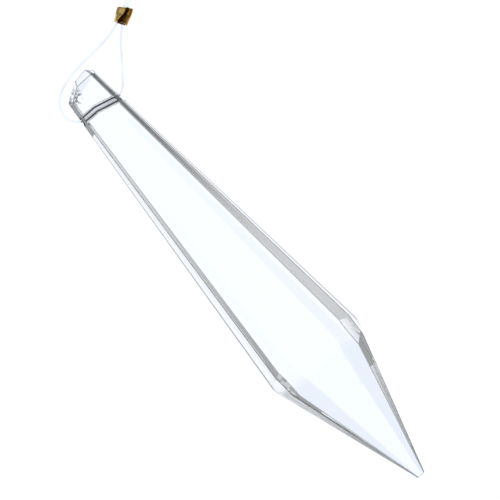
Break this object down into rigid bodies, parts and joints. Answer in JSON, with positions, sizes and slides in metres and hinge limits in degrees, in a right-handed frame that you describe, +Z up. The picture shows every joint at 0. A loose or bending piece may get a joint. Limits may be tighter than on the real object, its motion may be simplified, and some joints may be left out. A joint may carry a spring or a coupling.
{
  "type": "icicle prism hanging ornament",
  "caption": "Long flat faceted glass prism with a pointed tip, hung by a clear nylon line that runs through its cross hole, a small metal crimp tube and a hanging loop.",
  "frame": {"origin": "middle of the footprint of the prism, on the surface it lies on", "axes": "+X along the prism from the drilled end to the pointed tip, +Y across it to the side where the crimp tube lies, +Z up out of the front facet"},
  "size_m": [0.1342, 0.0431, 0.01],
  "materials": {
    "crystal": "clear polished cut glass",
    "crimp": "polished gold-coloured plating, pressed",
    "line": "clear nylon monofilament"
  },
  "bodies": {
    "prism": {"crystal_prism": "crystal"},
    "prism_loop": {"crimp_tube": "crimp", "prism_loop_line": "line"},
    "hanging_loop": {"hanging_loop_line": "line"}
  },
  "joints": [
    {"name": "prism_loop_swing", "type": "hinge", "parent": "prism", "child": "prism_loop", "pos_m": [-0.04203, -0.00005, 0.00212], "axis": [0.1391, 0.9903, 0], "range_deg": [0, 135]},
    {"name": "hanging_loop_swing", "type": "hinge", "parent": "prism_loop", "child": "hanging_loop", "pos_m": [-0.05418, 0.01655, 0.00126], "axis": [0.848, 0.5299, 0], "range_deg": [0, 60]}
  ]
}
